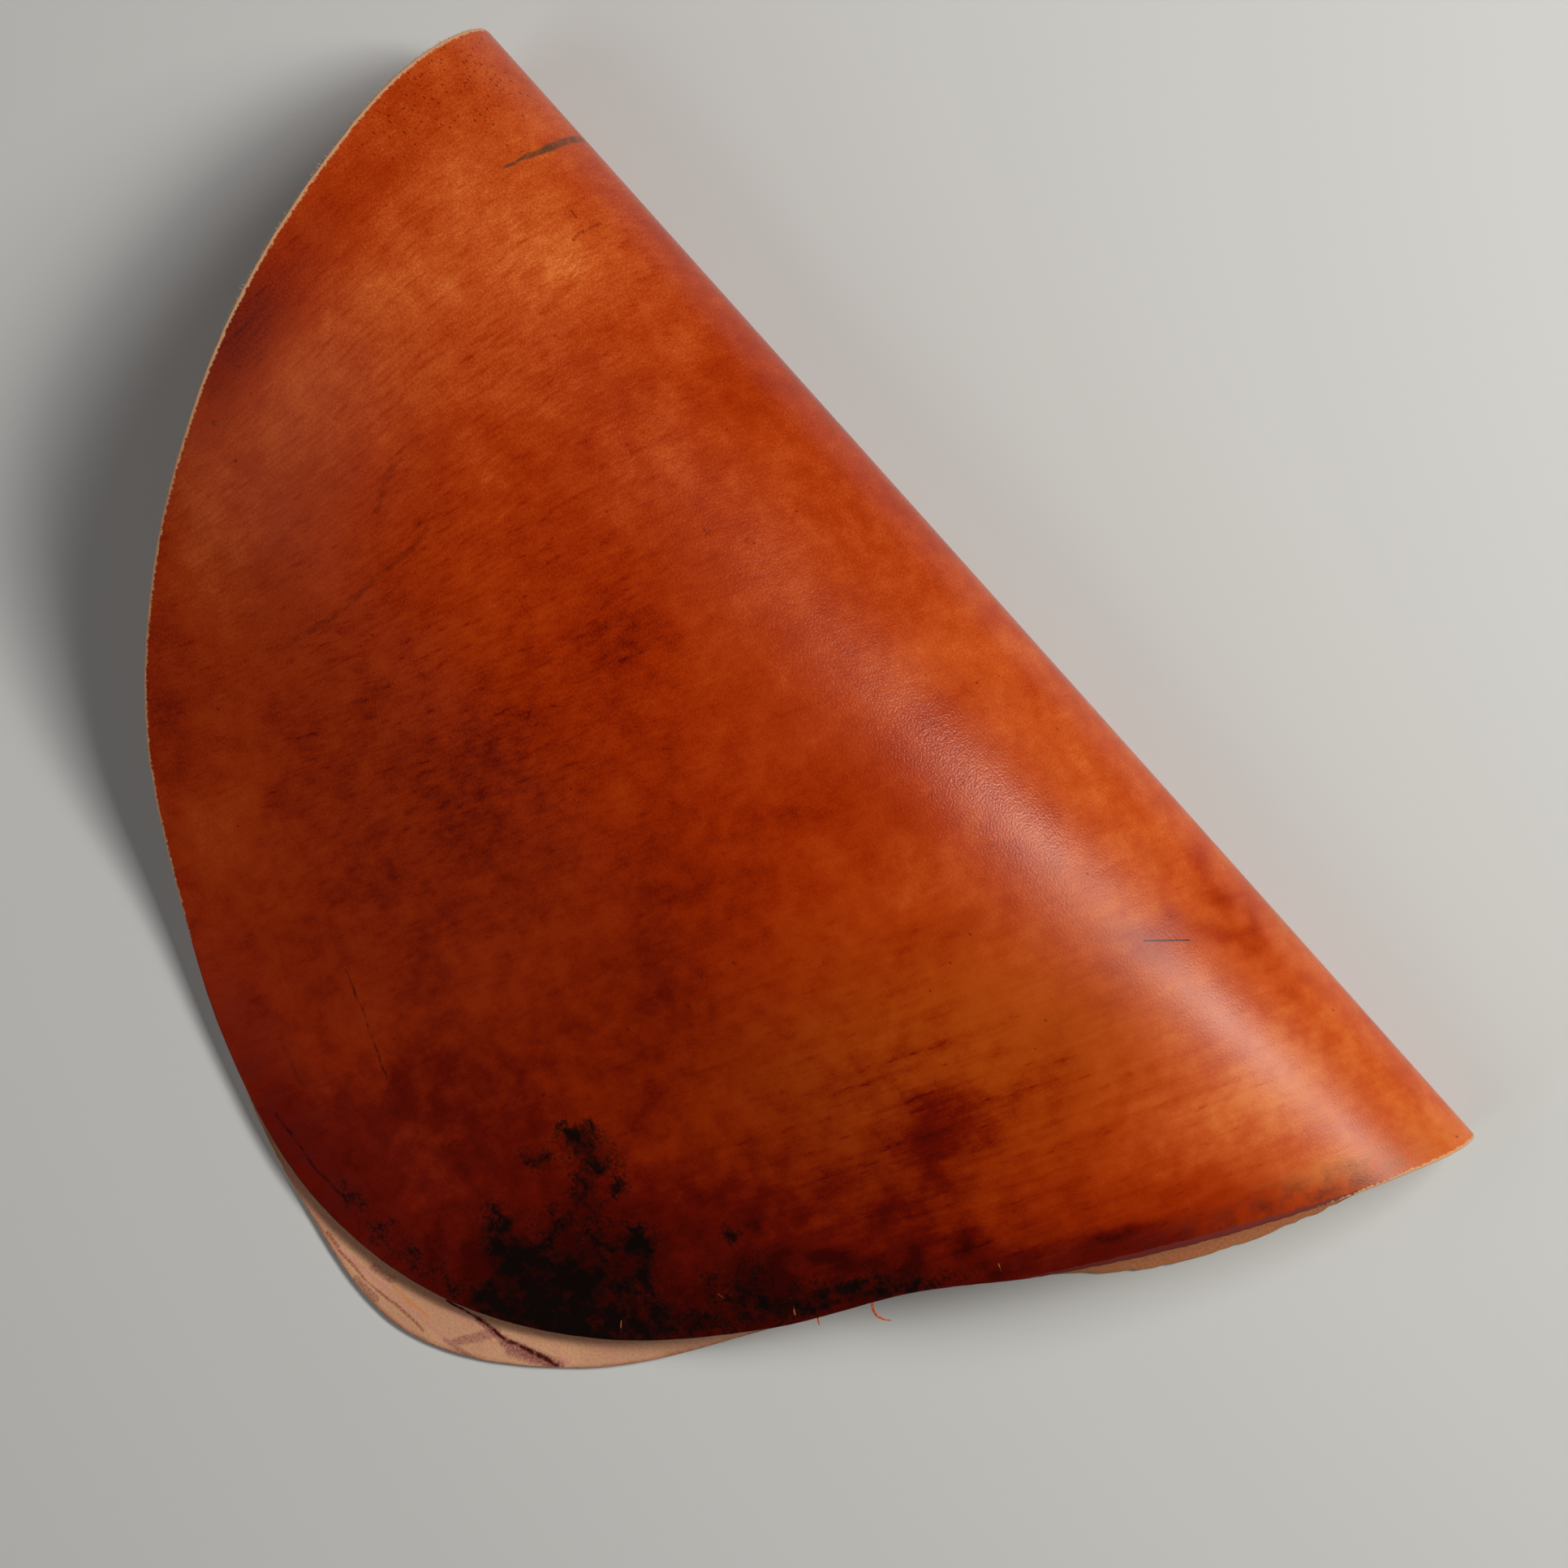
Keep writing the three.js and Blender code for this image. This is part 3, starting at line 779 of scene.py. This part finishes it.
def pores_mask(bench, place):
    """Hair pores: small spots, thick in the pore patches and rare elsewhere."""
    cells = bench.stretch(place, PORE_TURN, *PORE_CELL)
    spot = bench.add("ShaderNodeTexVoronoi", {"Vector": cells, "Scale": 1.0},
                     voronoi_dimensions="2D", feature="F1").outputs
    draw = bench.add("ShaderNodeSeparateColor", {0: spot["Color"]}).outputs
    wanted = bench.math("ADD", bench.times(bench.attribute("pores"), 0.42), 0.003)
    size = bench.math("ADD", bench.times(draw[1], 0.22), 0.12)
    return bench.times(bench.step(bench.math("DIVIDE", spot["Distance"], size), 1.0, 0.5),
                       bench.math("LESS_THAN", draw[0], wanted))


def flesh_material(colours):
    """Flesh side: pale matted fibre, and the stains on the crescent that shows."""
    material, bench = new_material("flesh_side")
    place = bench.attribute("flat", "Vector")
    wandering = bench.wander(place, 70.0, 0.0018)
    nap = bench.noise(place, 1100.0, 2.0, 0.6)
    beads = bench.noise(place, 520.0, 1.0)
    patches = bench.noise(place, 30.0, 4.0, 0.6)
    veins = bench.noise(bench.stretch(wandering, -9, 0.03, 0.003), 1.0, 3.0, 0.6)
    colour = bench.mix(bench.step(patches, 0.32, 0.68), colours.flesh, colours.flesh_grey)
    colour = bench.mix(bench.step(veins, 0.4, 0.75, 0.0, 0.7), colour, colours.flesh_pink)
    colour = bench.mix(bench.step(nap, 0.42, 0.75, 0.0, 0.30), colour, colours.flesh_dark)
    colour = lay_lines(bench, colour, wandering, (
        (FLESH_ORANGE_LINES, colours.flesh_orange, veins, 0.35, 0.60, 0.15, 0.75),
        (FLESH_SMEARS, colours.flesh_purple, nap, 0.25, 0.75, 0.32, 0.66),
        (FLESH_RED_LINES, colours.flesh_red, nap, 0.30, 0.70, 0.40, 0.75),
        (FLESH_HALOS, colours.flesh_purple, nap, 0.30, 0.65, 0.40, 0.85),
        (FLESH_DARK_LINES, colours.deepest, beads, 0.30, 0.50, 0.60, 0.97)))

    edge = bench.math("ADD", bench.attribute("edge"), bench.times(veins, 3.0))
    stained = bench.times(bench.step(edge, 3.4, 1.2), bench.step(patches, 0.35, 0.6, 0.2, 0.6))
    colour = bench.mix(stained, colour, colours.flesh_red)
    warm = bench.times(bench.attribute("warm"), bench.step(nap, 0.3, 0.7, 0.6, 0.9))
    colour = bench.mix(warm, colour, colours.flesh_warm)
    finish_material(bench, colour, roughness=0.85, height=nap, bump=0.35)
    return material


def cut_edge_material(colours):
    """Cut edge: pale packed fibre, burnished dark where the edge was rubbed."""
    material, bench = new_material("cut_edge")
    solid = bench.vector("MULTIPLY", bench.add("ShaderNodeTexCoord").outputs["Object"], EDGE_FIBRES_PER_M)
    fibre = bench.noise(solid, 1.0, 3.0, 0.6, solid=True)
    patches = bench.noise(bench.attribute("flat", "Vector"), 45.0, 4.0, 0.6)
    colour = bench.mix(bench.step(fibre, 0.3, 0.7), colours.cut_edge, colours.cut_dark)
    burnish = bench.math("ADD", bench.attribute("burnish"), bench.swing(patches, 0.8), clamp=True)
    colour = bench.mix(bench.times(burnish, 0.85), colour, colours.burnish)
    finish_material(bench, colour, roughness=0.66, height=fibre, bump=0.5)
    return material


def fibre_material(name, per_metre, detail, span, first, second, roughness, bump):
    """Loose fibre: one colour clouded with another."""
    material, bench = new_material(name)
    solid = bench.add("ShaderNodeTexCoord").outputs["Object"]
    tint = bench.noise(solid, per_metre, detail, 0.6, solid=True)
    colour = bench.mix(bench.step(tint, *span), first, second)
    finish_material(bench, colour, roughness, height=tint, bump=bump)
    return material


def mesh_from(work, name):
    mesh = bpy.data.meshes.new(name)
    work.to_mesh(mesh)
    work.free()
    return mesh


def new_object(name, data):
    thing = bpy.data.objects.new(name, data)
    bpy.context.scene.collection.objects.link(thing)
    return thing


def soft_light(centre, settings, name, away, length, width, roll, tint, shines):
    """A rectangular light that looks at the centre, turned from +y toward +x and lifted from the floor."""
    light = bpy.data.lights.new(name, "AREA")
    light.shape = "RECTANGLE"
    light.size, light.size_y = length, width
    light.energy = getattr(settings, name + "_power")
    light.color = tint
    lamp = new_object(name, light)
    lamp.visible_glossy = shines
    turn, lift = getattr(settings, name + "_turn"), getattr(settings, name + "_lift")
    way = Vector((math.sin(turn) * math.cos(lift), math.cos(turn) * math.cos(lift), math.sin(lift)))
    lamp.location = centre + way * away
    rolled = Quaternion((0.0, 0.0, 1.0), math.radians(roll))
    lamp.rotation_euler = (way.to_track_quat("Z", "Y") @ rolled).to_euler()


def colour_property(name, description, red, green, blue):
    return FloatVectorProperty(
        name=name, description=description, subtype="COLOR", size=3, min=0.0, max=1.0,
        default=srgb(red, green, blue))


def power_property(name, description, watts):
    return FloatProperty(name=name, description=description, default=watts, unit="POWER")


def angle_property(name, description, degrees):
    return FloatProperty(name=name, description=description, default=math.radians(degrees), subtype="ANGLE")


class LeatherSizes(bpy.types.PropertyGroup):
    thickness: FloatProperty(
        name="Thickness", description="Thickness of the leather",
        default=1.8 * MM, min=0.5 * MM, unit="LENGTH")
    cells_along: IntProperty(
        name="Cells Along", description="Mesh cells along the fold", default=168, min=20)
    cells_across: IntProperty(
        name="Cells Across", description="Mesh cells across the leather", default=240, min=40)
    edge_round: FloatProperty(
        name="Edge Round", description="Rounding of the cut edge",
        default=0.5 * MM, min=0.0, unit="LENGTH")


class LeatherColours(bpy.types.PropertyGroup):
    deepest: colour_property("Deepest", "Darkest red brown of the grain side", 64, 5, 0)
    dark: colour_property("Dark", "Dark red brown", 110, 16, 0)
    red_brown: colour_property("Red Brown", "Red brown of the middle", 150, 38, 0)
    chestnut: colour_property("Chestnut", "Lighter brown toward the fold", 170, 55, 7)
    orange: colour_property("Orange", "Bright orange by the fold", 192, 79, 27)
    amber: colour_property("Amber", "Palest clouds of the grain side", 214, 112, 50)
    scratch: colour_property("Scratch", "Fresh scratches of the grain side", 224, 134, 70)
    black: colour_property("Black", "Black stains", 12, 8, 6)
    yellow_brown: colour_property("Yellow Brown", "Yellowish clouds of the grain side", 172, 80, 14)
    # Colour of the painted sheen, a soft reflection painted at the upper left of the grain side.
    haze: colour_property("Haze", "Dull waxy haze on the grain side", 132, 74, 56)
    purple: colour_property("Purple", "Purple brown rims", 74, 16, 16)
    mauve: colour_property("Mauve", "Smears around the cut by the fold", 138, 22, 34)
    cut_line: colour_property("Cut Line", "Thin cut by the fold", 52, 8, 30)
    pore: colour_property("Pore", "Hair pores of the grain side", 84, 12, 2)
    grey_scar: colour_property("Grey Scar", "Healed scar by the fold", 80, 56, 36)
    flesh: colour_property("Flesh", "Pale flesh side", 213, 160, 121)
    flesh_grey: colour_property("Flesh Grey", "Greyer flesh side", 198, 147, 112)
    flesh_pink: colour_property("Flesh Pink", "Pink blush of the flesh side", 206, 138, 122)
    flesh_dark: colour_property("Flesh Dark", "Shade between fibres", 158, 106, 78)
    flesh_orange: colour_property("Flesh Orange", "Dye seeped into the flesh side", 214, 128, 58)
    flesh_purple: colour_property("Flesh Purple", "Bruise on the flesh side", 128, 66, 68)
    flesh_red: colour_property("Flesh Red", "Red lines of the flesh side", 136, 58, 40)
    flesh_warm: colour_property("Flesh Warm", "Dyed flesh side at the low end", 184, 108, 62)
    cut_edge: colour_property("Cut Edge", "Pale cut edge", 206, 160, 118)
    cut_dark: colour_property("Cut Edge Dark", "Shade in the cut edge", 150, 98, 62)
    fibre: colour_property("Fibre", "Loose fibres of the cut edge", 214, 186, 148)
    burnish: colour_property("Burnish", "Rubbed dark edge", 104, 42, 38)


class StageSettings(bpy.types.PropertyGroup):
    floor_colour: colour_property("Floor", "Colour of the plain floor", 205, 204, 202)
    key_power: power_property("Key", "Power of the soft key light", 16.0)
    key_turn: angle_property("Key Turn", "Key light's turn from straight out of the fold", 17)
    key_lift: angle_property("Key Lift", "Key light's height over the horizon", 52)
    streak_power: power_property("Streak", "Power of the narrow light that shines on the fold", 8.5)
    streak_turn: angle_property("Streak Turn", "Streak light's turn from straight out of the fold", 28.5)
    streak_lift: angle_property("Streak Lift", "Streak light's height over the horizon", 44.5)
    fill_power: power_property("Fill", "Power of the broad fill light", 9.0)
    fill_turn: angle_property("Fill Turn", "Fill light's turn from straight out of the fold", 200)
    fill_lift: angle_property("Fill Lift", "Fill light's height over the horizon", 38)
    room: FloatProperty(name="Room", description="Brightness of the room around", default=0.028)


class LEATHER_OT_shell(bpy.types.Operator):
    """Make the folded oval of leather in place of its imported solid"""
    bl_idname = "leather.shell"
    bl_label = "Folded Shell"

    def execute(self, context):
        sizes, colours = context.scene.leather_sizes, context.scene.leather_colours
        thickness = sizes.thickness / MM
        work = bmesh.new()
        bmesh.ops.create_grid(work, x_segments=sizes.cells_along, y_segments=sizes.cells_across, size=1.0)
        for ring in range(1, len(EDGE_RINGS)):
            outer = [edge for edge in work.edges if edge.is_boundary]
            grown = bmesh.ops.extrude_edge_only(work, edges=outer)
            for part in grown["geom"]:
                if isinstance(part, bmesh.types.BMVert):
                    part.co.z = ring
        bmesh.ops.reverse_faces(work, faces=work.faces[:])
        mesh = mesh_from(work, "folded_shell")

        square = np.empty(len(mesh.vertices) * 3, np.float32)
        mesh.vertices.foreach_get("co", square)
        p, q, ring = square.reshape(-1, 3).astype(float).T
        x, v, bearing, edge = flat_places(np.clip(p, -1, 1), np.clip(q, -1, 1), np.rint(ring).astype(int))
        places = middle(x, v, thickness) + shell_shift(thickness)
        mesh.vertices.foreach_set("co", (places * MM).astype(np.float32).ravel())
        mesh.update()
        for name, (along, across) in (("flat", (x, v)), ("drawn", drawn_places(x, v))):
            rows = np.stack([along, across, 0 * x], -1) * MM
            layer = mesh.attributes.new(name, "FLOAT_VECTOR", "POINT")
            layer.data.foreach_set("vector", rows.astype(np.float32).ravel())
        for name, values in shell_fields(x, v, bearing, edge).items():
            layer = mesh.attributes.new(name, "FLOAT", "POINT")
            layer.data.foreach_set("value", values.astype(np.float32))
        mesh.shade_smooth()
        for material in (grain_material(colours), flesh_material(colours), cut_edge_material(colours)):
            mesh.materials.append(material)

        shell = new_object("folded_shell", mesh)
        wall = shell.modifiers.new("thickness", "SOLIDIFY")
        wall.thickness = sizes.thickness
        wall.offset = 0.0
        wall.use_even_offset = True
        wall.material_offset = 1
        wall.material_offset_rim = 2
        round_over = shell.modifiers.new("edge_round", "BEVEL")
        round_over.width = sizes.edge_round
        round_over.segments = 3
        round_over.limit_method = "ANGLE"
        round_over.angle_limit = math.radians(50)
        round_over.use_clamp_overlap = True
        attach(shell, "root")
        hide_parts("leather_shell")
        return {"FINISHED"}


class LEATHER_OT_strand(bpy.types.Operator):
    """Make the torn strands that still hang from the cut edge"""
    bl_idname = "leather.strand"
    bl_label = "Torn Strands"

    def execute(self, context):
        sizes, colours = context.scene.leather_sizes, context.scene.leather_colours
        thickness = sizes.thickness / MM
        shift = shell_shift(thickness)
        work = bmesh.new()
        for bearing, steps in STRANDS:
            at = np.array([bearing])
            root = Vector((middle(*from_centre(at, reach_at(at)), thickness) + shift)[0])
            path = [root + Vector(row[:3]) for row in steps]
            ring = bmesh.ops.create_circle(work, cap_ends=True, segments=STRAND_SIDES, radius=1.0)["verts"]
            for i, point in enumerate(path):
                if i:
                    face = next(f for f in ring[0].link_faces if all(vert in ring for vert in f.verts))
                    grown = bmesh.ops.extrude_face_region(work, geom=[face])
                    ring = [part for part in grown["geom"] if isinstance(part, bmesh.types.BMVert)]
                    bmesh.ops.delete(work, geom=[face], context="FACES_ONLY")
                way = (path[min(i + 1, len(path) - 1)] - path[max(i - 1, 0)]).normalized()
                side = way.cross(Vector((0, 0, 1))).normalized()
                up = side.cross(way)
                width = steps[i][3]
                for k, vert in enumerate(ring):
                    angle = 2 * math.pi * k / len(ring)
                    aside, above = width * math.cos(angle), STRAND_FLATNESS * width * math.sin(angle)
                    vert.co = (point + side * aside + up * above) * MM
        bmesh.ops.recalc_face_normals(work, faces=work.faces[:])
        mesh = mesh_from(work, "torn_strands")
        mesh.shade_smooth()
        mesh.materials.append(fibre_material(
            "torn_fibre", 900.0, 3.0, (0.3, 0.7), colours.chestnut, colours.amber, roughness=0.6, bump=0.4))
        strand = new_object("torn_strands", mesh)
        smooth = strand.modifiers.new("smooth", "SUBSURF")
        smooth.levels = smooth.render_levels = 2
        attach(strand, "root")
        return {"FINISHED"}


class LEATHER_OT_fibres(bpy.types.Operator):
    """Make the loose pale fibres along the cut edge of the high end"""
    bl_idname = "leather.fibres"
    bl_label = "Edge Fibres"

    def execute(self, context):
        sizes, colours = context.scene.leather_sizes, context.scene.leather_colours
        thickness = sizes.thickness / MM
        shift = shell_shift(thickness)
        draw = np.random.default_rng(FIBRE_SEED)
        work = bmesh.new()
        for start, end, count, longer in FIBRES:
            for bearing in draw.uniform(start, end, count):
                reach = reach_at(bearing * np.ones(2)) - np.array([FIBRE_INSET, 0.0])
                inner, outer = map(Vector, middle(*from_centre(bearing, reach), thickness) + shift)
                out = (outer - inner).normalized()
                side = out.cross(Vector((0, 0, 1))).normalized()
                up = side.cross(out)
                aside, above = draw.normal(0, FIBRE_LEAN[0]), draw.normal(0, FIBRE_LEAN[1])
                way = (out + side * aside + up * above).normalized()
                length = FIBRE_SHORTEST + longer * draw.uniform() ** 2
                level = thickness * draw.uniform(-FIBRE_BAND, FIBRE_BAND)
                middle_point = outer - out * FIBRE_ROOT + up * level + way * (length / 2)
                turned = way.to_track_quat("Z", "Y").to_matrix().to_4x4()
                bmesh.ops.create_cone(
                    work, cap_ends=True, segments=4, depth=length * MM,
                    radius1=FIBRE_RADII[0] * MM, radius2=FIBRE_RADII[1] * MM,
                    matrix=Matrix.Translation(middle_point * MM) @ turned)
        mesh = mesh_from(work, "edge_fibres")
        mesh.materials.append(fibre_material(
            "loose_fibre", 700.0, 2.0, (0.35, 0.65), colours.fibre, colours.cut_edge,
            roughness=0.8, bump=0.2))
        fibres = new_object("edge_fibres", mesh)
        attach(fibres, "root")
        return {"FINISHED"}


class LEATHER_OT_stage(bpy.types.Operator):
    """Make the plain floor, the soft light and the camera over the leather"""
    bl_idname = "leather.stage"
    bl_label = "Stage"

    def execute(self, context):
        scene, settings = context.scene, context.scene.leather_stage
        shift = shell_shift(scene.leather_sizes.thickness / MM)
        work = bmesh.new()
        bmesh.ops.create_grid(work, x_segments=1, y_segments=1, size=FLOOR_HALF)
        bmesh.ops.translate(work, verts=work.verts[:], vec=(0.0, 0.0, -FLOOR_DROP))
        mesh = mesh_from(work, "floor")
        material, bench = new_material("plain_floor")
        shader = bench.add("ShaderNodeBsdfPrincipled", {"Roughness": 0.9})
        shader.inputs["Base Color"].default_value = (*settings.floor_colour, 1.0)
        bench.add("ShaderNodeOutputMaterial", {"Surface": shader.outputs[0]})
        mesh.materials.append(material)
        new_object("floor", mesh)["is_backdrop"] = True

        centre = Vector(((CAMERA_ALONG + shift[0]) * MM, (CAMERA_ACROSS + shift[1]) * MM, 0.0))
        lens = bpy.data.cameras.new("camera")
        lens.sensor_fit = "HORIZONTAL"
        lens.angle = 2 * math.atan(HALF_FRAME / CAMERA_HEIGHT)
        camera = new_object("camera", lens)
        camera.location = centre + Vector((0.0, 0.0, CAMERA_HEIGHT * MM))
        camera.rotation_euler = (0.0, 0.0, math.radians(CAMERA_ROLL))
        scene.camera = camera

        for light in LIGHTS:
            soft_light(centre, settings, *light)

        world = bpy.data.worlds.new("soft_room")
        world.use_nodes = True
        bench = NodeBench(world.node_tree)
        glow = bench.add("ShaderNodeBackground", {"Color": ROOM_TINT, "Strength": settings.room})
        bench.add("ShaderNodeOutputWorld", {"Surface": glow.outputs[0]})
        scene.world = world
        scene.view_settings.view_transform = "Standard"
        return {"FINISHED"}


class LEATHER_PT_panel(bpy.types.Panel):
    """Lists the leather's sizes, colours and pieces"""
    bl_idname = "LEATHER_PT_panel"
    bl_label = "Folded Leather Shell"
    bl_space_type = "VIEW_3D"
    bl_region_type = "UI"
    bl_category = "Leather"

    def draw(self, context):
        scene = context.scene
        for group in (scene.leather_sizes, scene.leather_colours, scene.leather_stage):
            box = self.layout.box()
            for name in group.__annotations__:
                box.prop(group, name)
        for operator in (LEATHER_OT_stage, LEATHER_OT_shell, LEATHER_OT_strand, LEATHER_OT_fibres):
            self.layout.operator(operator.bl_idname)


CLASSES = (
    LeatherSizes, LeatherColours, StageSettings,
    LEATHER_OT_stage, LEATHER_OT_shell, LEATHER_OT_strand, LEATHER_OT_fibres, LEATHER_PT_panel,
)


def register():
    for item in CLASSES:
        bpy.utils.register_class(item)
    bpy.types.Scene.leather_sizes = PointerProperty(type=LeatherSizes)
    bpy.types.Scene.leather_colours = PointerProperty(type=LeatherColours)
    bpy.types.Scene.leather_stage = PointerProperty(type=StageSettings)


def unregister():
    del bpy.types.Scene.leather_stage
    del bpy.types.Scene.leather_colours
    del bpy.types.Scene.leather_sizes
    for item in reversed(CLASSES):
        bpy.utils.unregister_class(item)


def main():
    register()
    bpy.ops.leather.stage()
    bpy.ops.leather.shell()
    bpy.ops.leather.strand()
    bpy.ops.leather.fibres()
    boxes = {"cad": CAD_BOX, "visual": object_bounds()}
    boxes = {name: [list(corner) for corner in box] for name, box in boxes.items()}


if __name__ == "__main__":
    main()
